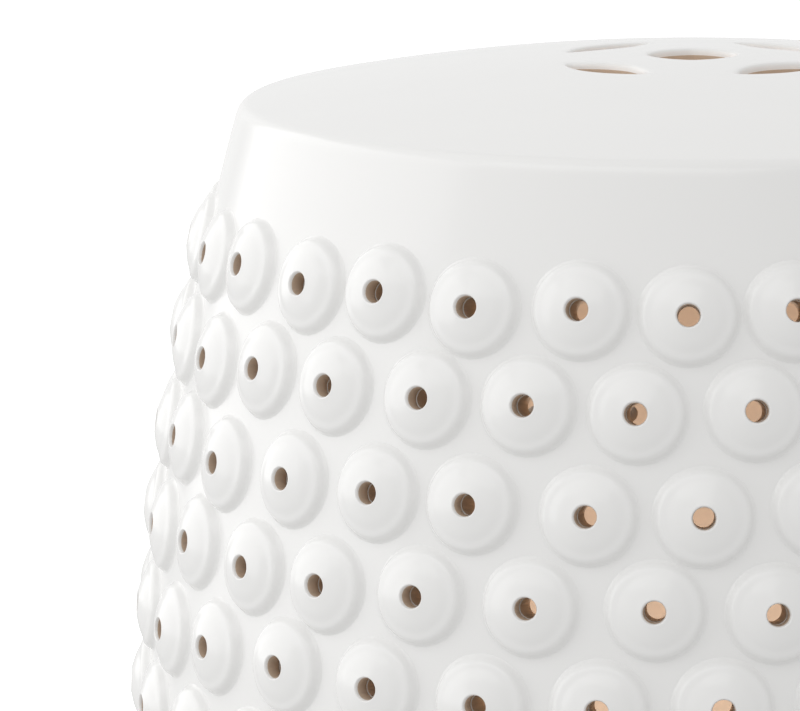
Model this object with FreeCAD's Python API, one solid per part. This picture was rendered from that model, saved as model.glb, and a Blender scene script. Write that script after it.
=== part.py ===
"""Pierced hobnail garden stool in glazed stoneware, built from the pieces the potter joins."""
import FreeCAD, Part
import math
import os
import random

V = FreeCAD.Vector

# Driving dimensions in millimetres. The stool stands on z = 0, with the Z axis up its middle.
STOOL_HEIGHT = 457.0          # floor to the crown of the seat
BELLY_RADIUS = 164.4          # outside of the drum wall at half height, between the studs
BARREL_ARC_RADIUS = 785.0     # the one arc that curves the wall from foot to shoulder
WALL_THICKNESS = 9.0
SEAT_DOME_RADIUS = 660.0      # the seat is a shallow dome
SHOULDER_RADIUS = 4.5         # rounding where the seat turns into the wall, and at the foot's edge

# Heights where one potter's piece ends and the next begins
SEAT_SEAM = 434.0
SHOULDER_BAND_BOTTOM = 419.0
BASE_BAND_TOP = 38.0
FOOT_HEIGHT = 12.0
FOOT_BORE_RADIUS = 118.0      # the foot is thicker than the wall, and this is its open middle

# Studs: full buttons in staggered rows, each pierced through to the inside
ROWS = 14
STUDS_PER_ROW = 30
TOP_ROW_HEIGHT = 403.0
BOTTOM_ROW_HEIGHT = 54.0
STUD_BASE_RADIUS = 13.5
STUD_HEIGHT = 5.6
STUD_ROLL_RADIUS = 2.5        # the crown rolls over into the base with this rounding
STUD_FOOT = 2.0               # how deep a stud reaches, to meet the curved wall all round
PIERCING_RADIUS = 3.0
FIRST_STUD_ANGLE = -45.0      # degrees from +X, where the counting of a row begins
TOP_ROW_PHASE = -0.03         # share of one stud step by which the top row starts off that angle
ROW_DRIFT = 0.07              # share of a step that each lower row creeps round, besides the half step
HAND_SCATTER = 1.2            # the studs are placed by hand, up to this far off the grid
SCATTER_SEED = 30

# Seat piercing: four leaves round a rounded square, one leaf on each of the X and Y axes
LEAF_LENGTH = 32.8
LEAF_WIDTH = 13.0
LEAF_DISTANCE = 35.6          # stool's axis to the middle of a leaf
SQUARE_CORNER_DISTANCE = 13.1
SQUARE_SIDE_BULGE = 2.4

# The drum wall is raised in three courses, counted in rows of studs from the top
COURSE_ROWS = {"upper_course": 5, "middle_course": 4, "lower_course": 5}

MIDDLE_HEIGHT = STOOL_HEIGHT / 2
ROLL_DISTANCE = STUD_BASE_RADIUS - STUD_ROLL_RADIUS
STUD_CROWN_RADIUS = (
    (ROLL_DISTANCE ** 2 + STUD_HEIGHT ** 2 - STUD_ROLL_RADIUS ** 2)
    / (2 * (STUD_HEIGHT - STUD_ROLL_RADIUS))
)
ROW_PITCH = (TOP_ROW_HEIGHT - BOTTOM_ROW_HEIGHT) / (ROWS - 1)
STUD_STEP = 360.0 / STUDS_PER_ROW
CUTTER_REACH = 40.0           # how far cutting tools run past what they cut


def barrel_radius(height, inset=0.0):
    """Radius of the barrel curve at a height, or of the curve a wall's thickness further in."""
    arc_radius = BARREL_ARC_RADIUS - inset
    centre = BELLY_RADIUS - BARREL_ARC_RADIUS
    return centre + math.sqrt(arc_radius ** 2 - (height - MIDDLE_HEIGHT) ** 2)


def barrel_normal(height):
    """Outward and upward parts of the wall's normal at a height."""
    rise = (height - MIDDLE_HEIGHT) / BARREL_ARC_RADIUS
    return math.sqrt(1 - rise ** 2), rise


def barrel_blank(bottom, top, inset=0.0):
    """Solid drum under the barrel curve, from one height to another."""
    middle = (bottom + top) / 2
    low = V(barrel_radius(bottom, inset), 0, bottom)
    high = V(barrel_radius(top, inset), 0, top)
    side = Part.Arc(low, V(barrel_radius(middle, inset), 0, middle), high).toShape()
    rest = Part.makePolygon([high, V(0, 0, top), V(0, 0, bottom), low])
    face = Part.Face(Part.Wire([side] + rest.Edges))
    return face.revolve(V(0, 0, 0), V(0, 0, 1), 360)


def seat_dome(inset=0.0):
    """Ball whose top is the domed seat, or the seat's underside when it is inset."""
    centre = V(0, 0, STOOL_HEIGHT - SEAT_DOME_RADIUS)
    return Part.makeSphere(SEAT_DOME_RADIUS - inset, centre)


def ring(bottom, top):
    """Band of the drum wall between two heights."""
    bore = barrel_blank(bottom - 1, top + 1, WALL_THICKNESS)
    return barrel_blank(bottom, top).cut(bore)


def round_rim(solid, height_from, height_to):
    """Round the one circular edge of a solid that lies on the barrel curve between two heights."""
    rims = []
    for edge in solid.Edges:
        box = edge.BoundBox
        flat = box.ZLength < 1e-3
        outside = box.XLength > 1.9 * barrel_radius(box.ZMin)
        if flat and outside and height_from <= box.ZMin <= height_to:
            rims.append(edge)
    return solid.makeFillet(SHOULDER_RADIUS, rims)


def leaf_cutter():
    """Upright prism of one leaf-shaped slot, lying across the +X axis."""
    half = LEAF_LENGTH / 2
    tips = [V(LEAF_DISTANCE, -half, 0), V(LEAF_DISTANCE, half, 0)]
    outer = Part.Arc(tips[0], V(LEAF_DISTANCE + LEAF_WIDTH / 2, 0, 0), tips[1]).toShape()
    inner = Part.Arc(tips[1], V(LEAF_DISTANCE - LEAF_WIDTH / 2, 0, 0), tips[0]).toShape()
    face = Part.Face(Part.Wire([outer, inner]))
    return face.extrude(V(0, 0, STOOL_HEIGHT + CUTTER_REACH))


def square_cutter():
    """Upright prism of the middle opening: a square with bulging sides, its corners on the diagonals."""
    half = SQUARE_CORNER_DISTANCE / math.sqrt(2)
    side = Part.Arc(V(half, -half, 0), V(half + SQUARE_SIDE_BULGE, 0, 0), V(half, half, 0)).toShape()
    sides = []
    for quarter in range(4):
        turned = side.copy()
        turned.rotate(V(0, 0, 0), V(0, 0, 1), 90 * quarter)
        sides.append(turned)
    face = Part.Face(Part.Wire(sides))
    return face.extrude(V(0, 0, STOOL_HEIGHT + CUTTER_REACH))


def seat_top():
    """Domed seat slab with its turned-down edge and the pierced flower in its middle."""
    slab = barrel_blank(SEAT_SEAM, STOOL_HEIGHT + 1).common(seat_dome())
    slab = round_rim(slab, SEAT_SEAM + 1, STOOL_HEIGHT)
    hollow = barrel_blank(SEAT_SEAM - 1, STOOL_HEIGHT, WALL_THICKNESS).common(seat_dome(WALL_THICKNESS))
    slots = [square_cutter()]
    for quarter in range(4):
        leaf = leaf_cutter()
        leaf.rotate(V(0, 0, 0), V(0, 0, 1), 90 * quarter)
        slots.append(leaf)
    return slab.cut([hollow] + slots)


def foot_ring():
    """Thick ring that the stool stands on, open in the middle, with its outer edge rounded."""
    solid = round_rim(barrel_blank(0, FOOT_HEIGHT), -1, 1)
    bore = Part.makeCylinder(FOOT_BORE_RADIUS, FOOT_HEIGHT + 2, V(0, 0, -1))
    return solid.cut(bore)


def stud_places():
    """For each row from the top, the angle and height of every stud: a staggered grid set by hand."""
    scatter = random.Random(SCATTER_SEED)
    rows = []
    for row in range(ROWS):
        height = TOP_ROW_HEIGHT - row * ROW_PITCH
        phase = TOP_ROW_PHASE + ROW_DRIFT * row + 0.5 * (row % 2)
        places = []
        for step in range(STUDS_PER_ROW):
            sideways = scatter.uniform(-HAND_SCATTER, HAND_SCATTER)
            upwards = scatter.uniform(-HAND_SCATTER, HAND_SCATTER)
            angle = FIRST_STUD_ANGLE + (step + phase) * STUD_STEP
            angle += math.degrees(sideways / barrel_radius(height))
            places.append((angle, height + upwards))
        rows.append(places)
    return rows


def on_wall(shape, angle):
    """Turn a shape made over the +X axis round the stool."""
    shape.rotate(V(0, 0, 0), V(0, 0, 1), angle)
    return shape


def piercing(angle, height):
    """Cylinder that cuts one round hole square through the stud and the wall."""
    out, up = barrel_normal(height)
    inside = V(barrel_radius(height) - 2 * WALL_THICKNESS * out, 0, height - 2 * WALL_THICKNESS * up)
    length = 2 * WALL_THICKNESS + 2 * STUD_HEIGHT
    return on_wall(Part.makeCylinder(PIERCING_RADIUS, length, inside, V(out, 0, up)), angle)


def around(centre, radius, tilt):
    """Point on a circle in the XZ plane, at a tilt in radians from straight up."""
    return centre + V(math.sin(tilt), 0, math.cos(tilt)) * radius


def button():
    """Stud blank standing on the XY plane: a shallow crown that rolls over into an upright edge."""
    crown_centre = V(0, 0, STUD_HEIGHT - STUD_CROWN_RADIUS)
    roll_centre = V(ROLL_DISTANCE, 0, 0)
    tilt = math.atan2(ROLL_DISTANCE, -crown_centre.z)
    top = V(0, 0, STUD_HEIGHT)
    join = around(crown_centre, STUD_CROWN_RADIUS, tilt)
    rim = V(STUD_BASE_RADIUS, 0, 0)
    crown = Part.Arc(top, around(crown_centre, STUD_CROWN_RADIUS, tilt / 2), join).toShape()
    roll_middle = around(roll_centre, STUD_ROLL_RADIUS, (tilt + math.pi / 2) / 2)
    roll = Part.Arc(join, roll_middle, rim).toShape()
    foot = Part.makePolygon([rim, rim - V(0, 0, STUD_FOOT), V(0, 0, -STUD_FOOT), top])
    face = Part.Face(Part.Wire([crown, roll] + foot.Edges))
    return face.revolve(V(0, 0, 0), V(0, 0, 1), 360)


def stud(angle, height, drum):
    """Button seated on the drum wall, with its hole."""
    out, up = barrel_normal(height)
    blank = button()
    blank.rotate(V(0, 0, 0), V(0, 1, 0), math.degrees(math.atan2(out, up)))
    blank.translate(V(barrel_radius(height), 0, height))
    return on_wall(blank, angle).cut([drum, piercing(angle, height)])


def stud_row(places):
    """One row of studs, as separate solids."""
    heights = [height for angle, height in places]
    low = min(heights) - 2 * STUD_BASE_RADIUS
    high = max(heights) + 2 * STUD_BASE_RADIUS
    drum = barrel_blank(low, high)
    solids = []
    for angle, height in places:
        solids += stud(angle, height, drum).Solids
    return Part.makeCompound(solids)


def course_seams():
    """Heights of the drum's seams from the top down: its two ends, and midway between two rows."""
    seams = [SHOULDER_BAND_BOTTOM]
    rows_above = 0
    for count in COURSE_ROWS.values():
        rows_above += count
        seams.append(TOP_ROW_HEIGHT - (rows_above - 0.5) * ROW_PITCH)
    seams[-1] = BASE_BAND_TOP
    return seams


def drum_course(bottom, top, rows):
    """One course of the drum wall, with a hole behind each stud of its rows."""
    cutters = [piercing(angle, height) for places in rows for angle, height in places]
    return ring(bottom, top).cut(cutters)


def save(name, shape):
    solids = shape.Solids
    volume = sum(solid.Volume for solid in solids) / 1000
    print(f"{name}: {len(solids)} solid(s), {volume:.1f} cm3, valid {shape.isValid()}")
    shape.exportStep(f"parts/{name}.step")


def main():
    os.makedirs("parts", exist_ok=True)
    rows = stud_places()
    save("seat_top", seat_top())
    save("shoulder_band", ring(SHOULDER_BAND_BOTTOM, SEAT_SEAM))
    seams = course_seams()
    first_row = 0
    for number, (name, count) in enumerate(COURSE_ROWS.items()):
        own_rows = rows[first_row:first_row + count]
        save(name, drum_course(seams[number + 1], seams[number], own_rows))
        first_row += count
    save("base_band", ring(FOOT_HEIGHT, BASE_BAND_TOP))
    save("foot_ring", foot_ring())
    for number, places in enumerate(rows, start=1):
        save(f"stud_row_{number:02d}", stud_row(places))


main()
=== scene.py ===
"""Pierced hobnail garden stool: the glazed and bare clay pieces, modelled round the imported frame."""
import math
import random

import bpy
from bpy.props import FloatProperty, FloatVectorProperty, IntProperty, PointerProperty
from mathutils import Matrix, Vector


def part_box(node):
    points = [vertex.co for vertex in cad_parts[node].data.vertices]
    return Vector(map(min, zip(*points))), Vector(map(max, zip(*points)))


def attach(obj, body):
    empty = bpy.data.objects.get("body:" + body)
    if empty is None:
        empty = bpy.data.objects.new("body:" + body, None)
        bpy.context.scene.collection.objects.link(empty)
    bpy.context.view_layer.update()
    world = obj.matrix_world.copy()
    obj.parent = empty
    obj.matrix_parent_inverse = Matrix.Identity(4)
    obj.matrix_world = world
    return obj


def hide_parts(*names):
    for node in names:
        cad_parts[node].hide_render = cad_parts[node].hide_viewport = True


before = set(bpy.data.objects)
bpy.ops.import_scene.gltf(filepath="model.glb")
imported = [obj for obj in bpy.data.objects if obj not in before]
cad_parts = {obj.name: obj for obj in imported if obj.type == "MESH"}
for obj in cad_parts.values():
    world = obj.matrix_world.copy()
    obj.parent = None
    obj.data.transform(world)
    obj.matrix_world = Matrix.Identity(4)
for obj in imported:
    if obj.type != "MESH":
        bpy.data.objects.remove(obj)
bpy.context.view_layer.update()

bl_info = {
    "name": "Pierced garden stool",
    "version": (1, 0, 0),
    "blender": (4, 5, 0),
    "location": "3D View > Sidebar > Garden Stool",
    "description": "Builds a glazed stoneware stool with a pierced, studded drum",
    "category": "Add Mesh",
}

BODY = "root"
COURSES = {"upper_course": (0, 5), "middle_course": (5, 9), "lower_course": (9, 14)}


def low_of(node):
    """Height of a node's lowest point."""
    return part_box(node)[0].z


def high_of(node):
    """Height of a node's highest point."""
    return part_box(node)[1].z


def half_width_of(node):
    """Largest radius of a node."""
    low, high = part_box(node)
    return (high.x - low.x) / 2


class StoolSizes(bpy.types.PropertyGroup):
    """Sizes of the stool's clay pieces."""

    belly_radius: FloatProperty(
        name="Belly radius", description="Outside of the drum wall at half height",
        default=half_width_of("middle_course"), unit="LENGTH")
    barrel_arc: FloatProperty(
        name="Barrel arc", description="Radius of the one arc that curves the wall from foot to shoulder",
        default=0.785, unit="LENGTH")
    wall: FloatProperty(
        name="Wall", description="Thickness of the drum wall and the seat", default=0.009, unit="LENGTH")
    crown_height: FloatProperty(
        name="Crown height", description="Floor to the crown of the seat's dome",
        default=0.457, unit="LENGTH")
    seat_dome: FloatProperty(
        name="Seat dome", description="Radius of the seat's shallow dome", default=0.660, unit="LENGTH")
    shoulder_rounding: FloatProperty(
        name="Shoulder rounding", description="Rounding where the seat turns into the wall",
        default=0.0045, unit="LENGTH")
    foot_bore: FloatProperty(
        name="Foot bore", description="Radius of the foot's open middle", default=0.118, unit="LENGTH")
    rows: IntProperty(name="Rows", description="Rows of studs", default=14)
    studs_in_row: IntProperty(name="Studs in a row", description="Studs round the drum", default=30)
    top_row: FloatProperty(
        name="Top row", description="Height of the top row's middle", default=0.403, unit="LENGTH")
    bottom_row: FloatProperty(
        name="Bottom row", description="Height of the bottom row's middle", default=0.054, unit="LENGTH")
    piercing: FloatProperty(
        name="Piercing", description="Radius of the hole through each stud", default=0.003, unit="LENGTH")
    stud_radius: FloatProperty(
        name="Stud radius", description="Radius of a stud where it meets the wall",
        default=0.0135, unit="LENGTH")
    stud_height: FloatProperty(
        name="Stud height", description="How far a stud stands out", default=0.0056, unit="LENGTH")
    stud_roll: FloatProperty(
        name="Stud roll", description="Rounding where a stud's crown rolls over into its edge",
        default=0.0025, unit="LENGTH")
    leaf_length: FloatProperty(
        name="Leaf length", description="Length of a leaf slot in the seat", default=0.0328, unit="LENGTH")
    leaf_width: FloatProperty(
        name="Leaf width", description="Width of a leaf slot", default=0.013, unit="LENGTH")
    leaf_distance: FloatProperty(
        name="Leaf distance", description="Stool's axis to a leaf's middle", default=0.0356, unit="LENGTH")
    square_corner: FloatProperty(
        name="Square corner", description="Stool's axis to a corner of the middle opening",
        default=0.0131, unit="LENGTH")
    square_bulge: FloatProperty(
        name="Square bulge", description="How far the sides of the middle opening bow out",
        default=0.0024, unit="LENGTH")


class StoolColours(bpy.types.PropertyGroup):
    """Colours of the glaze and the clay."""

    glaze: FloatVectorProperty(
        name="Glaze", description="White glaze", subtype="COLOR", default=(0.905, 0.895, 0.90))
    # Darker grey for the studs: partly thinner glaze at each hole's lip, partly painted shade that makes a
    # stud's crown darker than the wall.
    thin_glaze_and_crown_shade: FloatVectorProperty(
        name="Thin glaze", description="Glaze where it runs thin over an edge",
        subtype="COLOR", default=(0.79, 0.775, 0.775))
    glaze_roughness: FloatProperty(
        name="Glaze roughness", description="How far the glaze blurs what it mirrors", default=0.09)
    clay: FloatVectorProperty(
        name="Bare clay", description="Fired clay with no glaze", subtype="COLOR",
        default=(0.60, 0.45, 0.34))
    fired_speck: FloatVectorProperty(
        name="Fired speck", description="Iron specks and pinholes", subtype="COLOR",
        default=(0.20, 0.15, 0.12))


class StudioSettings(bpy.types.PropertyGroup):
    """Camera."""

    camera_azimuth: FloatProperty(
        name="Camera azimuth", description="Side that the camera stands on, from -Y towards +X, in degrees",
        default=45.0)
    camera_distance: FloatProperty(
        name="Camera distance", description="Camera to the stool's axis", default=1.7319, unit="LENGTH")
    camera_height: FloatProperty(
        name="Camera height", description="Camera above the floor", default=0.6715, unit="LENGTH")
    camera_yaw: FloatProperty(
        name="Camera yaw", description="Aim left of the stool's axis, in degrees", default=2.885)
    camera_pitch: FloatProperty(
        name="Camera pitch", description="Aim below the horizon, in degrees", default=9.996)
    camera_roll: FloatProperty(name="Camera roll", description="Tilt, in degrees", default=0.362)
    lens: FloatProperty(name="Lens", description="Focal length in millimetres", default=264.5)


def sizes():
    return bpy.context.scene.stool_sizes


def colours():
    return bpy.context.scene.stool_colours


def studio():
    return bpy.context.scene.stool_studio


# ---------------------------------------------------------------- shape of the stool

def middle_height():
    return sizes().crown_height / 2


def wall_radius(height, inset=0.0):
    """Radius of the barrel curve at a height, or of the curve that far inside it."""
    s = sizes()
    rise = height - middle_height()
    return s.belly_radius - s.barrel_arc + math.sqrt((s.barrel_arc - inset) ** 2 - rise ** 2)


def dome_height(radius, inset=0.0):
    """Height of the seat's dome at a radius, or of its underside."""
    s = sizes()
    ball = s.seat_dome - inset
    return s.crown_height - s.seat_dome + math.sqrt(ball ** 2 - radius ** 2)


def stud_places():
    """For each row from the top, the angle and height of every stud: a staggered grid."""
    first_angle, step = math.radians(-45.0), math.tau / sizes().studs_in_row
    top_row_phase, row_drift, hand_scatter = -0.03, 0.07, 0.0012
    pitch = (sizes().top_row - sizes().bottom_row) / (sizes().rows - 1)
    scatter = random.Random(30)
    rows = []
    for row in range(sizes().rows):
        height = sizes().top_row - row * pitch
        phase = top_row_phase + row_drift * row + 0.5 * (row % 2)
        places = []
        for number in range(sizes().studs_in_row):
            sideways = scatter.uniform(-hand_scatter, hand_scatter)
            upwards = scatter.uniform(-hand_scatter, hand_scatter)
            angle = first_angle + (number + phase) * step + sideways / wall_radius(height)
            places.append((angle, height + upwards))
        rows.append(places)
    return rows


# ---------------------------------------------------------------- modelling by hand

def clear_selection():
    if bpy.context.mode != "OBJECT":
        bpy.ops.object.mode_set(mode="OBJECT")
    bpy.ops.object.select_all(action="DESELECT")


def pick(*objects):
    """Select these objects only, the first one active."""
    clear_selection()
    for one in objects:
        one.select_set(True)
    bpy.context.view_layer.objects.active = objects[0]


def select_vertices(mesh, wanted):
    """In object mode, select the vertices that pass a test, and nothing else."""
    mesh.polygons.foreach_set("select", [False] * len(mesh.polygons))
    mesh.edges.foreach_set("select", [False] * len(mesh.edges))
    mesh.vertices.foreach_set("select", [bool(wanted(v)) for v in mesh.vertices])


def drawn_profile(name, points):
    """A closed half section, drawn corner by corner in the XZ plane as (radius, height) points."""
    clear_selection()
    bpy.ops.mesh.primitive_plane_add(size=0.002)
    outline = bpy.context.object
    outline.name = outline.data.name = name
    bpy.ops.object.mode_set(mode="EDIT")
    bpy.ops.mesh.select_mode(type="VERT")
    bpy.ops.mesh.select_all(action="SELECT")
    bpy.ops.mesh.merge(type="CENTER")
    bpy.ops.transform.translate(value=(points[0][0], 0, points[0][1]))
    for here, there in zip(points, points[1:]):
        step = (there[0] - here[0], 0, there[1] - here[1])
        bpy.ops.mesh.extrude_vertices_move(TRANSFORM_OT_translate={"value": step})
    bpy.ops.object.mode_set(mode="OBJECT")
    last = len(outline.data.vertices) - 1
    select_vertices(outline.data, lambda v: v.index in (0, last))
    bpy.ops.object.mode_set(mode="EDIT")
    bpy.ops.mesh.edge_face_add()
    return outline


def turned(name, points, steps):
    """A ring of clay turned on the wheel: a closed half section spun round the Z axis."""
    piece = drawn_profile(name, points)
    bpy.ops.mesh.select_all(action="SELECT")
    bpy.ops.mesh.spin(steps=steps, angle=math.tau, center=(0, 0, 0), axis=(0, 0, 1))
    bpy.ops.mesh.select_all(action="SELECT")
    bpy.ops.mesh.remove_doubles(threshold=1e-6)
    bpy.ops.mesh.normals_make_consistent(inside=False)
    bpy.ops.object.mode_set(mode="OBJECT")
    return piece


def hoop_shrink(steps):
    """How much a hoop of so many straight steps shrinks when it is smoothed into a circle."""
    return 2 / 3 + math.cos(math.tau / steps) / 3


def smooth(piece, angle=35.0):
    pick(piece)
    bpy.ops.object.shade_smooth_by_angle(angle=math.radians(angle))


def smooth_all_over(mesh):
    for face in mesh.polygons:
        face.use_smooth = True


def paint(piece, materials, choose):
    """Give a piece its materials, and each face the one whose number the choice gives."""
    piece.data.materials.clear()
    for one in materials:
        piece.data.materials.append(one)
    for face in piece.data.polygons:
        face.material_index = choose(face)


def apply_modifiers(piece):
    pick(piece)
    for modifier in list(piece.modifiers):
        bpy.ops.object.modifier_apply(modifier=modifier.name)


def copies_joined(master, places, put):
    """One object of copies of a master, each put in its place, and the master removed."""
    made = []
    for place in places:
        copy = master.copy()
        copy.data = master.data.copy()
        bpy.context.collection.objects.link(copy)
        put(copy, *place)
        made.append(copy)
    pick(*made)
    bpy.ops.object.join()
    bpy.ops.object.transform_apply(location=True, rotation=True, scale=True)
    return bpy.context.object


def finish_piece(piece, name, slot_name, *nodes):
    """Name a piece, and tie it to the frame."""
    piece.name = piece.data.name = name
    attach(piece, BODY)
    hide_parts(*nodes)


def arc_points(centre, radius, start, end, count):
    """Points on an arc in the half section, its angles in radians from the outward direction."""
    turns = [start + (end - start) * i / count for i in range(count + 1)]
    return [(centre[0] + radius * math.cos(t), centre[1] + radius * math.sin(t)) for t in turns]


def levels(bottom, top, spacing):
    """Evenly spaced heights from the bottom to the top, both included."""
    count = max(1, round((top - bottom) / spacing))
    return [bottom + (top - bottom) * i / count for i in range(count + 1)]


# ---------------------------------------------------------------- materials

class Recipe:
    """A material's nodes, joined as they are added."""

    def __init__(self, name):
        self.material = bpy.data.materials.new(name)
        self.material.use_nodes = True
        self.nodes = self.material.node_tree.nodes
        self.shader = self.nodes["Principled BSDF"]
        self.place = self.add("ShaderNodeTexCoord").outputs["Object"]

    def add(self, kind, **settings):
        node = self.nodes.new(kind)
        for key, value in settings.items():
            setattr(node, key, value)
        return node

    def join(self, source, target):
        self.material.node_tree.links.new(source, target)

    def noise(self, scale, detail=2.0, roughness=0.5):
        node = self.add("ShaderNodeTexNoise")
        node.inputs["Scale"].default_value = scale
        node.inputs["Detail"].default_value = detail
        node.inputs["Roughness"].default_value = roughness
        self.join(self.place, node.inputs["Vector"])
        return node.outputs["Fac"]

    def ramp(self, source, low, high, low_value=0.0, high_value=1.0):
        """Map a value's range to another, held at its ends."""
        node = self.add("ShaderNodeMapRange")
        settings = {"From Min": low, "From Max": high, "To Min": low_value, "To Max": high_value}
        for key, value in settings.items():
            node.inputs[key].default_value = value
        self.join(source, node.inputs["Value"])
        return node.outputs["Result"]

    def maths(self, operation, first, second):
        node = self.add("ShaderNodeMath", operation=operation)
        for socket, value in zip(node.inputs, (first, second)):
            if isinstance(value, float):
                socket.default_value = value
            else:
                self.join(value, socket)
        return node.outputs["Value"]

    def mix(self, share, first, second):
        """Blend two colours, each a tuple or a socket, by a share."""
        node = self.add("ShaderNodeMix", data_type="RGBA")
        self.join(share, node.inputs["Factor"])
        for socket, value in zip((node.inputs["A"], node.inputs["B"]), (first, second)):
            if isinstance(value, bpy.types.NodeSocket):
                self.join(value, socket)
            else:
                socket.default_value = (*value, 1.0)
        return node.outputs["Result"]

    def bump(self, height, distance, strength=1.0, under=None):
        node = self.add("ShaderNodeBump")
        node.inputs["Strength"].default_value = strength
        node.inputs["Distance"].default_value = distance
        self.join(height, node.inputs["Height"])
        if under is not None:
            self.join(under, node.inputs["Normal"])
        return node.outputs["Normal"]


def glaze_material():
    """White tin-like glaze: glossy, gently wavy, with a few pinholes, and a darker grey towards each stud's
    middle: partly thinner glaze at the hole's lip, partly painted shade on the stud's crown.
    """
    recipe = Recipe("white_glaze")
    shader = recipe.shader
    shader.inputs["Roughness"].default_value = colours().glaze_roughness
    shader.inputs["IOR"].default_value = 1.5
    cells = recipe.add("ShaderNodeTexVoronoi", feature="F1")
    cells.inputs["Scale"].default_value = 60.0
    recipe.join(recipe.place, cells.inputs["Vector"])
    near = recipe.ramp(cells.outputs["Distance"], 0.018, 0.030, 1.0, 0.0)
    split = recipe.add("ShaderNodeSeparateColor")
    recipe.join(cells.outputs["Color"], split.inputs["Color"])
    chosen = recipe.ramp(split.outputs["Red"], 0.50, 0.505)
    pinhole = recipe.maths("MULTIPLY", near, chosen)
    # Share of the darker grey: on the studs partly thinner glaze at the lip and partly painted shade on the
    # crown; the noise adds glaze of random depth.
    thin_and_shaded = recipe.add("ShaderNodeAttribute", attribute_name="glaze_thin_and_crown_shade").outputs["Fac"]
    depth = recipe.ramp(recipe.noise(22.0, 3.0), 0.3, 0.7, 0.0, 0.16)
    darker_glaze_share = recipe.maths("ADD", thin_and_shaded, depth)
    body = recipe.mix(darker_glaze_share, tuple(colours().glaze), tuple(colours().thin_glaze_and_crown_shade))
    recipe.join(recipe.mix(pinhole, body, tuple(colours().fired_speck)), shader.inputs["Base Color"])
    waves = recipe.bump(recipe.noise(38.0, 1.0), 0.00028)
    orange_peel = recipe.bump(recipe.noise(420.0, 1.0), 0.000006, under=waves)
    pits = recipe.bump(pinhole, -0.0003, under=orange_peel)
    recipe.join(pits, shader.inputs["Normal"])
    return recipe.material


def clay_material():
    """Bare fired stoneware: tan, matt and finely gritty, with iron specks."""
    recipe = Recipe("bare_stoneware")
    shader = recipe.shader
    clay = Vector(colours().clay)
    mottle = recipe.ramp(recipe.noise(60.0, 4.0, 0.6), 0.3, 0.7)
    body = recipe.mix(mottle, tuple(clay * 0.88), tuple(clay * 1.12))
    specks = recipe.ramp(recipe.noise(900.0, 2.0), 0.66, 0.72, 0.0, 0.55)
    recipe.join(recipe.mix(specks, body, tuple(colours().fired_speck)), shader.inputs["Base Color"])
    shader.inputs["Roughness"].default_value = 0.85
    shader.inputs["Specular IOR Level"].default_value = 0.3
    grit = recipe.bump(recipe.noise(1500.0, 3.0, 0.65), 0.00012)
    recipe.join(grit, shader.inputs["Normal"])
    return recipe.material


def material(name):
    """A finish of the stool, made the first time it is asked for."""
    makers = {"white_glaze": glaze_material, "bare_stoneware": clay_material}
    return bpy.data.materials.get(name) or makers[name]()


GLAZED, BARE = 0, 1


def stool_materials():
    return [material("white_glaze"), material("bare_stoneware")]


def bare_inside(face):
    """Glaze on what faces outwards, bare clay on the inner wall and the seams."""
    outward = Vector((face.center.x, face.center.y, 0)).normalized()
    return GLAZED if face.normal.dot(outward) > 0.5 else BARE


# ---------------------------------------------------------------- the clay pieces

WHEEL_STEPS = 240


def wall_section(bottom, top):
    """Half section of a band of wall: up its outside, and down its inside."""
    fine, coarse = 0.0042, 0.0075
    outside = [(wall_radius(z), z) for z in levels(bottom, top, fine)]
    inside = [(wall_radius(z, sizes().wall), z) for z in levels(bottom, top, coarse)]
    return outside + inside[::-1]


def drill(name, places):
    """A set of round cutters, one through the wall behind each stud."""
    s = sizes()
    clear_selection()
    bpy.ops.mesh.primitive_cylinder_add(vertices=32, radius=s.piercing, depth=3 * s.wall)
    cutter = bpy.context.object
    cutter.data.materials.append(material("bare_stoneware"))

    def aim(copy, angle, height):
        rise = math.asin((height - middle_height()) / s.barrel_arc)
        out = Vector((math.cos(rise) * math.cos(angle), math.cos(rise) * math.sin(angle), math.sin(rise)))
        radius = wall_radius(height)
        foot = Vector((radius * math.cos(angle), radius * math.sin(angle), height))
        turn = out.to_track_quat("Z", "Y").to_matrix().to_4x4()
        copy.matrix_world = Matrix.Translation(foot - out * s.wall / 2) @ turn

    joined = copies_joined(cutter, places, aim)
    bpy.data.objects.remove(cutter)
    joined.name = name
    return joined


class STOOL_OT_turn_bands(bpy.types.Operator):
    """Turn the plain band under the seat and the plain band above the foot"""

    bl_idname = "stool.turn_bands"
    bl_label = "Turn the plain bands"

    def execute(self, context):
        for node in ("shoulder_band", "base_band"):
            piece = turned(node, wall_section(low_of(node), high_of(node)), WHEEL_STEPS)
            paint(piece, stool_materials(), bare_inside)
            smooth(piece)
            finish_piece(piece, f"glazed_{node}", "white_glaze", node)
        return {"FINISHED"}


class STOOL_OT_raise_drum(bpy.types.Operator):
    """Raise the three courses of the drum wall and pierce them behind every stud"""

    bl_idname = "stool.raise_drum"
    bl_label = "Raise the pierced drum"

    def execute(self, context):
        rows = stud_places()
        for node, (first, last) in COURSES.items():
            piece = turned(node, wall_section(low_of(node), high_of(node)), WHEEL_STEPS)
            paint(piece, stool_materials(), bare_inside)
            cutters = drill("drill", [place for places in rows[first:last] for place in places])
            cut = piece.modifiers.new("piercing", "BOOLEAN")
            cut.operation, cut.solver, cut.object = "DIFFERENCE", "EXACT", cutters
            cut.material_mode = "TRANSFER"
            apply_modifiers(piece)
            bpy.data.objects.remove(cutters)
            smooth(piece)
            finish_piece(piece, f"pierced_{node}", "white_glaze", node)
        return {"FINISHED"}


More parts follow.
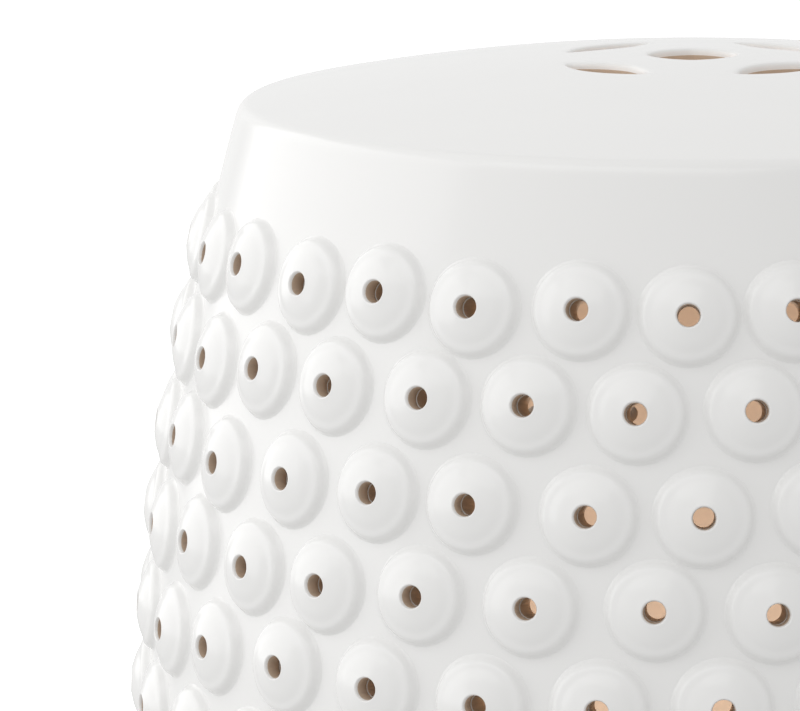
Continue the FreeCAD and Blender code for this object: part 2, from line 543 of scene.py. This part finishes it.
class STOOL_OT_turn_foot(bpy.types.Operator):
    """Turn the bare ring that the stool stands on"""

    bl_idname = "stool.turn_foot"
    bl_label = "Turn the foot ring"

    def execute(self, context):
        s = sizes()
        top = high_of("foot_ring")
        shy, edge, inner_edge = 0.0004, s.shoulder_rounding, 0.002
        rim = wall_radius(edge) - shy
        outside = arc_points((rim - edge, edge), edge, -math.pi / 2, 0, 8)
        outside += [(wall_radius(z) - shy, z) for z in levels(edge, top, 0.0025)[1:]]
        inside = [(s.foot_bore, top), (s.foot_bore, inner_edge)]
        corner = (s.foot_bore + inner_edge, inner_edge)
        inside += arc_points(corner, inner_edge, math.pi, 1.5 * math.pi, 6)[1:]
        piece = turned("foot_ring", outside + inside, WHEEL_STEPS)
        paint(piece, stool_materials(), lambda face: BARE)
        smooth(piece)
        finish_piece(piece, "bare_foot_ring", "bare_stoneware", "foot_ring")
        return {"FINISHED"}


def stud_section():
    """Half section of a stud lying flat: its hole, its lip and crown, and the run of glaze at its foot."""
    s = sizes()
    reach = s.stud_radius - s.stud_roll
    crown_ball = (reach ** 2 + s.stud_height ** 2 - s.stud_roll ** 2) / (2 * (s.stud_height - s.stud_roll))

    def crown(radius):
        return (radius, s.stud_height - crown_ball + math.sqrt(crown_ball ** 2 - radius ** 2))

    hole, buried = s.piercing, -0.0012
    tube = [(hole, buried), (hole, 0.0022), (hole, 0.00475)]
    lip_and_crown = [(0.0035, 0.00533), crown(0.0044), crown(0.0078), crown(0.0104)]
    run = [(0.0123, 0.0025), (0.0134, 0.0010), (0.0143, 0.0001), (0.0158, -0.0006)]
    return tube + lip_and_crown + run + [(0.0090, buried)]


def cage_of(section, steps, seen):
    """The cage, spun in few steps, whose smoothed surface passes through the seen points of a section."""
    cage = [Vector(point) for point in section]
    for _ in range(12):
        for i in seen:
            reached = (cage[i - 1] + 4 * cage[i] + cage[(i + 1) % len(cage)]) / 6
            cage[i] = cage[i] + (Vector(section[i]) - reached) * 0.9
    return [(point.x / hoop_shrink(steps), point.y) for point in cage]


class STOOL_OT_press_studs(bpy.types.Operator):
    """Model one stud, and set copies of it on the wall in staggered rows"""

    bl_idname = "stool.press_studs"
    bl_label = "Press the stud rows"

    def execute(self, context):
        s = sizes()
        steps, section = 8, stud_section()
        above_wall = range(3, len(section) - 2)
        stud = turned("stud", cage_of(section, steps, above_wall), steps)
        paint(stud, stool_materials(), self.bare_in_hole)
        # Painted shade and thinner glaze: 1 at the hole, falling to 0 at the stud's edge, so each stud's
        # crown is painted darker than the wall.
        thin_and_shaded = stud.data.attributes.new("glaze_thin_and_crown_shade", "FLOAT", "POINT")
        for vertex in stud.data.vertices:
            radius = math.hypot(vertex.co.x, vertex.co.y)
            thin_and_shaded.data[vertex.index].value = max(0.0, 1.0 - radius / s.stud_radius)
        smooth_all_over(stud.data)
        for number, places in enumerate(stud_places(), start=1):
            row = copies_joined(stud, places, self.seat_on_wall)
            rounding = row.modifiers.new("rounding", "SUBSURF")
            rounding.levels = rounding.render_levels = 2
            node = f"stud_row_{number:02d}"
            finish_piece(row, f"glazed_{node}", "white_glaze", node)
        bpy.data.objects.remove(stud)
        return {"FINISHED"}

    @staticmethod
    def bare_in_hole(face):
        """Bare clay on the hole's wall below its lip."""
        radius = math.hypot(face.center.x, face.center.y)
        inward = abs(face.normal.z) < 0.3 and radius < sizes().piercing * 1.2
        return BARE if inward else GLAZED

    @staticmethod
    def seat_on_wall(copy, angle, height):
        """Bend a flat-lying stud to the barrel at its place."""
        s = sizes()
        barrel_axis = s.belly_radius - s.barrel_arc
        start = math.asin((height - middle_height()) / s.barrel_arc)
        for vertex in copy.data.vertices:
            sideways, along, out = vertex.co
            rise = start + along / s.barrel_arc
            turn = angle + sideways / (barrel_axis + s.barrel_arc * math.cos(rise))
            radius = barrel_axis + (s.barrel_arc + out) * math.cos(rise)
            up = middle_height() + (s.barrel_arc + out) * math.sin(rise)
            vertex.co = (radius * math.cos(turn), radius * math.sin(turn), up)


SEAT_LINES = 32
LINES_IN_QUARTER = SEAT_LINES // 4


def arc_reach(angle, centre, radius, way):
    """Distance from the stool's axis to an arc centred on the leaf's own line, at an angle from it."""
    along = centre * math.cos(angle)
    return along + way * math.sqrt(along ** 2 - centre ** 2 + radius ** 2)


def flower_outline(line):
    """For one spoke of the seat: its angle, and where the openings' edges cross it."""
    s = sizes()
    quarter, step = divmod(line, LINES_IN_QUARTER)
    side = -1 if step > LINES_IN_QUARTER / 2 else 1
    step = min(step, LINES_IN_QUARTER - step)
    tip = math.atan2(s.leaf_length / 2, s.leaf_distance)
    angle = (0.0, 0.36 * tip, 0.71 * tip, tip, math.pi / 4)[step]
    half, rise = s.leaf_length / 2, s.leaf_width / 2
    leaf_arc = (half ** 2 + rise ** 2) / (2 * rise)
    corner = s.square_corner / math.sqrt(2)
    side_arc = (corner ** 2 + s.square_bulge ** 2) / (2 * s.square_bulge)
    square = arc_reach(angle, corner + s.square_bulge - side_arc, side_arc, 1)
    if step < 3:
        inner = arc_reach(angle, s.leaf_distance - rise + leaf_arc, leaf_arc, -1)
        outer = arc_reach(angle, s.leaf_distance + rise - leaf_arc, leaf_arc, 1)
    else:
        past_tip = 0.0012 if step == 3 else 0.0
        inner = outer = math.hypot(s.leaf_distance, half)
        angle += past_tip / inner
    turn = quarter * math.pi / 2 + (angle if side > 0 else math.pi / 2 - angle)
    return turn, square, inner, outer, step


class STOOL_OT_form_seat(bpy.types.Operator):
    """Form the domed seat with its turned-down edge, and cut the flower of five openings in it"""

    bl_idname = "stool.form_seat"
    bl_label = "Form the pierced seat"

    # Rings of the slab, from the middle opening outwards, named by their distance from the axis
    SQUARE, SQUARE_RIM, PETAL_GAP, LEAF_RIM_IN = 0.0115, 0.0145, 0.0200, 0.0255
    LEAF_IN, LEAF_OUT, LEAF_RIM_OUT, CALM = 0.0330, 0.0400, 0.0450, 0.0540

    def execute(self, context):
        piece = turned("seat_top", self.seat_section(), SEAT_LINES)
        self.settle_rings(piece)
        self.open_leaves(piece)
        self.round_lips(piece)
        paint(piece, stool_materials(), self.bare_below)
        smooth_all_over(piece.data)
        rounding = piece.modifiers.new("rounding", "SUBSURF")
        rounding.levels = rounding.render_levels = 3
        finish_piece(piece, "glazed_seat_top", "white_glaze", "seat_top")
        return {"FINISHED"}

    def seat_section(self):
        """Half section: up the skirt, round the shoulder, along the dome, and back underneath."""
        s = sizes()
        seam, rounding = low_of("seat_top"), s.shoulder_rounding
        barrel_axis = (s.belly_radius - s.barrel_arc, middle_height())
        dome_axis = (0.0, s.crown_height - s.seat_dome)
        centre = circles_meet(barrel_axis, s.barrel_arc - rounding, dome_axis, s.seat_dome - rounding)
        skirt_turn = math.atan2(centre[1] - barrel_axis[1], centre[0] - barrel_axis[0])
        dome_turn = math.atan2(centre[1] - dome_axis[1], centre[0] - dome_axis[0])
        shoulder = arc_points(centre, rounding, skirt_turn, dome_turn, 4)
        skirt = [(wall_radius(z), z) for z in levels(seam, shoulder[0][1], 0.004)[:-1]]
        inner = wall_radius(seam, s.wall)
        rings = [self.SQUARE, self.SQUARE_RIM, self.PETAL_GAP, self.LEAF_RIM_IN, self.LEAF_IN,
                 self.LEAF_OUT, self.LEAF_RIM_OUT, self.CALM, 0.066, 0.080, 0.095, 0.110]
        top = [(r, dome_height(r)) for r in rings + [0.1215, 0.1285]]
        under = [(r, dome_height(r, s.wall)) for r in rings + [0.1215, inner - 0.0025]]
        corner = [(inner, seam + 0.0022), (inner, seam)]
        outline = skirt + shoulder + top[::-1] + under + corner
        return [(radius / hoop_shrink(SEAT_LINES), height) for radius, height in outline]

    def settle_rings(self, piece):
        """Move the inner rings onto the outline of the openings, and even the slab between them."""
        mesh = piece.data
        for vertex in mesh.vertices:
            radius = math.hypot(vertex.co.x, vertex.co.y) * hoop_shrink(SEAT_LINES)
            if radius > self.CALM + 0.02:
                continue
            under = vertex.co.z < dome_height(radius, sizes().wall / 2)
            even = math.atan2(vertex.co.y, vertex.co.x) % math.tau
            line = round(even / math.tau * SEAT_LINES) % SEAT_LINES
            turn, square, inner, outer, step = flower_outline(line)
            tip = step >= 3
            settled = {
                self.SQUARE: square,
                self.SQUARE_RIM: square + 0.0030,
                self.PETAL_GAP: square + 0.0030 + 0.45 * (inner - square - 0.0060),
                self.LEAF_RIM_IN: inner - (0.0058 if tip else 0.0030),
                self.LEAF_IN: inner,
                self.LEAF_OUT: outer,
                self.LEAF_RIM_OUT: outer + (0.0050 if tip else 0.0030),
                self.CALM: self.CALM,
            }
            nearest = min(settled, key=lambda nominal: abs(nominal - radius))
            if abs(nearest - radius) < 0.001:
                radius = settled[nearest]
            fade = min(1.0, max(0.0, (radius - 0.047) / 0.033))
            gap = (even - turn + math.pi) % math.tau - math.pi
            turn += gap * fade
            height = dome_height(radius, sizes().wall if under else 0.0)
            vertex.co = (radius * math.cos(turn), radius * math.sin(turn), height)
        pick(piece)
        bpy.ops.object.mode_set(mode="EDIT")
        bpy.ops.mesh.select_all(action="SELECT")
        bpy.ops.mesh.remove_doubles(threshold=1e-5)
        bpy.ops.object.mode_set(mode="OBJECT")

    @staticmethod
    def in_leaf(point, margin):
        """Whether a point lies within one of the four leaf outlines, seen from above."""
        s = sizes()
        rise = s.leaf_width / 2
        leaf_arc = ((s.leaf_length / 2) ** 2 + rise ** 2) / (2 * rise)
        along, across = sorted((abs(point[0]), abs(point[1])), reverse=True)
        from_outer = math.hypot(along - (s.leaf_distance + rise - leaf_arc), across)
        from_inner = math.hypot(along - (s.leaf_distance - rise + leaf_arc), across)
        return max(from_outer, from_inner) < leaf_arc + margin

    def select_leaf(self, mesh, centre):
        """In object mode, select the faces above and below one leaf, and no other face."""
        for face in mesh.polygons:
            near = (Vector((face.center.x, face.center.y, 0)) - centre).length < sizes().leaf_length / 2
            face.select = near and self.in_leaf(face.center, -0.0005)

    def open_leaves(self, piece):
        """Take out the leaf faces above and below, and wall each leaf slot between its two outlines."""
        mesh = piece.data
        for quarter in range(4):
            pick(piece)
            centre = Matrix.Rotation(quarter * math.pi / 2, 3, "Z") @ Vector((sizes().leaf_distance, 0, 0))
            select_vertices(mesh, lambda v: False)
            self.select_leaf(mesh, centre)
            bpy.ops.object.mode_set(mode="EDIT")
            bpy.ops.mesh.select_mode(type="FACE")
            bpy.ops.mesh.region_to_loop()
            bpy.ops.object.mode_set(mode="OBJECT")
            rim = {edge.key for edge in mesh.edges if edge.select}
            self.select_leaf(mesh, centre)
            bpy.ops.object.mode_set(mode="EDIT")
            bpy.ops.mesh.delete(type="ONLY_FACE")
            bpy.ops.object.mode_set(mode="OBJECT")
            for edge in mesh.edges:
                edge.select = edge.key in rim
            bpy.ops.object.mode_set(mode="EDIT")
            bpy.ops.mesh.select_mode(type="EDGE")
            bpy.ops.mesh.bridge_edge_loops()
            bpy.ops.object.mode_set(mode="OBJECT")
        pick(piece)
        bpy.ops.object.mode_set(mode="EDIT")
        bpy.ops.mesh.select_all(action="DESELECT")
        bpy.ops.mesh.select_mode(type="EDGE")
        bpy.ops.mesh.select_loose()
        bpy.ops.mesh.delete(type="EDGE")
        bpy.ops.mesh.select_all(action="SELECT")
        bpy.ops.mesh.normals_make_consistent(inside=False)
        bpy.ops.object.mode_set(mode="OBJECT")

    def round_lips(self, piece):
        """Bevel the openings' edges for a soft glazed lip, and keep the seam at the skirt's end sharp."""
        mesh = piece.data
        seam = low_of("seat_top")
        select_vertices(mesh, lambda v: False)
        steep = {}
        for face in mesh.polygons:
            upright = abs(face.normal.z) < 0.5 and math.hypot(face.center.x, face.center.y) < 0.05
            for key in face.edge_keys:
                steep.setdefault(key, []).append(upright)
        for edge in mesh.edges:
            edge.select = len(set(steep[edge.key])) == 2
        pick(piece)
        bpy.ops.object.mode_set(mode="EDIT")
        bpy.ops.mesh.select_mode(type="EDGE")
        bpy.ops.mesh.bevel(offset=0.0011, segments=1, affect="EDGES")
        bpy.ops.object.mode_set(mode="OBJECT")
        crease = mesh.attributes.new("crease_edge", "FLOAT", "EDGE")
        for edge in mesh.edges:
            one, other = (mesh.vertices[i].co for i in edge.vertices)
            hoop = abs(math.hypot(one.x, one.y) - math.hypot(other.x, other.y)) < 1e-4
            on_seam = max(one.z, other.z) < seam + 1e-4
            edge.use_edge_sharp = hoop and on_seam
            crease.data[edge.index].value = float(edge.use_edge_sharp)

    @staticmethod
    def bare_below(face):
        """Glaze on top, over the edge and on the lips; bare clay in the openings and underneath."""
        radius = math.hypot(face.center.x, face.center.y)
        outside = face.normal.dot(Vector((face.center.x, face.center.y, 0)).normalized()) > 0.3
        glazed = face.normal.z > 0.3 or (outside and radius > 0.1)
        return GLAZED if glazed else BARE


def circles_meet(first, first_radius, second, second_radius):
    """The outer and upper one of the two points where two circles cross."""
    a, b = Vector(first), Vector(second)
    gap = (b - a).length
    along = (first_radius ** 2 - second_radius ** 2 + gap ** 2) / (2 * gap)
    across = math.sqrt(first_radius ** 2 - along ** 2)
    direction = (b - a) / gap
    side = Vector((-direction.y, direction.x))
    found = [a + direction * along + side * across * way for way in (1, -1)]
    return tuple(max(found, key=lambda point: point.x + point.y))


# ---------------------------------------------------------------- studio

def floor_material():
    """Plain white paper that glows a little, so that it stays white behind the stool."""
    recipe = Recipe("studio_white")
    settings = {"Base Color": (0.8, 0.8, 0.8, 1.0), "Roughness": 0.9,
                "Emission Color": (1.0, 1.0, 1.0, 1.0), "Emission Strength": 0.6}
    for key, value in settings.items():
        recipe.shader.inputs[key].default_value = value
    return recipe.material


POWER_OF_BRIGHTNESS = 4.0


def softbox(name, place, aim, width, height, brightness):
    """An area light of an even brightness that faces a point, and that the camera can't see."""
    data = bpy.data.lights.new(name, "AREA")
    data.shape, data.size, data.size_y = "RECTANGLE", width, height
    data.energy = POWER_OF_BRIGHTNESS * brightness * width * height
    light = bpy.data.objects.new(name, data)
    bpy.context.collection.objects.link(light)
    light.location = place
    light.rotation_euler = (Vector(aim) - Vector(place)).to_track_quat("-Z", "Y").to_euler()
    light.visible_camera = False
    return light


def around(angle_from_camera, distance, height):
    """A place at an angle from the camera's side of the stool, positive to the camera's right."""
    angle = math.radians(studio().camera_azimuth + angle_from_camera)
    return Vector((math.sin(angle) * distance, -math.cos(angle) * distance, height))


class STOOL_OT_set_studio(bpy.types.Operator):
    """Lay the pale floor, and set the lights and the camera"""

    bl_idname = "stool.set_studio"
    bl_label = "Set the studio"

    def execute(self, context):
        self.lay_floor()
        self.light(context.scene)
        self.place_camera(context.scene)
        return {"FINISHED"}

    @staticmethod
    def lay_floor():
        clear_selection()
        bpy.ops.mesh.primitive_circle_add(vertices=96, radius=14.0, fill_type="NGON")
        floor = bpy.context.object
        floor.name = "studio_floor"
        floor.data.materials.append(floor_material())
        floor.visible_diffuse = floor.visible_glossy = False

    @staticmethod
    def light(scene):
        world = bpy.data.worlds.new("studio_air")
        scene.world = world
        world.use_nodes = True
        backdrop = world.node_tree.nodes["Background"]
        backdrop.inputs["Color"].default_value = (1.0, 1.0, 1.0, 1.0)
        backdrop.inputs["Strength"].default_value = 0.70
        middle = (0.0, 0.0, middle_height())
        softbox("left_bank", around(-101, 2.0, 0.95), middle, 3.4, 2.0, 0.80)
        softbox("high_front_bank", around(-20, 1.5, 1.9), middle, 2.4, 1.25, 0.65)
        softbox("back_bank", around(178, 2.3, 1.0), middle, 3.0, 2.0, 0.15)
        inside = softbox("drum_inside", (0, 0, 0.1), (0, 0, 1), 0.1, 0.1, 16.0)
        inside.visible_glossy = False
        scene.view_settings.view_transform = "Standard"

    @staticmethod
    def place_camera(scene):
        t = studio()
        azimuth = math.radians(t.camera_azimuth + t.camera_yaw)
        pitch, roll = math.radians(t.camera_pitch), math.radians(t.camera_roll)
        ahead = Vector((-math.sin(azimuth) * math.cos(pitch), math.cos(azimuth) * math.cos(pitch),
                        -math.sin(pitch)))
        right = ahead.cross(Vector((0, 0, 1))).normalized()
        over = right.cross(ahead)
        side = math.cos(roll) * right - math.sin(roll) * over
        top = math.sin(roll) * right + math.cos(roll) * over
        data = bpy.data.cameras.new("camera")
        data.lens, data.sensor_width = t.lens, 36.0
        data.clip_start, data.clip_end = 0.05, 50.0
        camera = bpy.data.objects.new("camera", data)
        scene.collection.objects.link(camera)
        camera.matrix_world = Matrix.Translation(around(0, t.camera_distance, t.camera_height)) @ Matrix(
            (side, top, -ahead)).transposed().to_4x4()
        scene.camera = camera


class STOOL_PT_panel(bpy.types.Panel):
    """Steps of building the stool"""

    bl_idname = "STOOL_PT_panel"
    bl_label = "Garden Stool"
    bl_space_type = "VIEW_3D"
    bl_region_type = "UI"
    bl_category = "Garden Stool"

    def draw(self, context):
        for operator in OPERATORS:
            self.layout.operator(operator.bl_idname)


OPERATORS = (
    STOOL_OT_form_seat,
    STOOL_OT_turn_bands,
    STOOL_OT_raise_drum,
    STOOL_OT_press_studs,
    STOOL_OT_turn_foot,
    STOOL_OT_set_studio,
)
GROUPS = {"stool_sizes": StoolSizes, "stool_colours": StoolColours, "stool_studio": StudioSettings}


def register():
    for one in (*GROUPS.values(), *OPERATORS, STOOL_PT_panel):
        bpy.utils.register_class(one)
    for name, group in GROUPS.items():
        setattr(bpy.types.Scene, name, PointerProperty(type=group))


def unregister():
    for name in GROUPS:
        delattr(bpy.types.Scene, name)
    for one in (STOOL_PT_panel, *reversed(OPERATORS), *reversed(GROUPS.values())):
        bpy.utils.unregister_class(one)


def main():
    register()
    for operator in OPERATORS:
        family, step = operator.bl_idname.split(".")
        getattr(getattr(bpy.ops, family), step)()


if __name__ == "__main__":
    main()
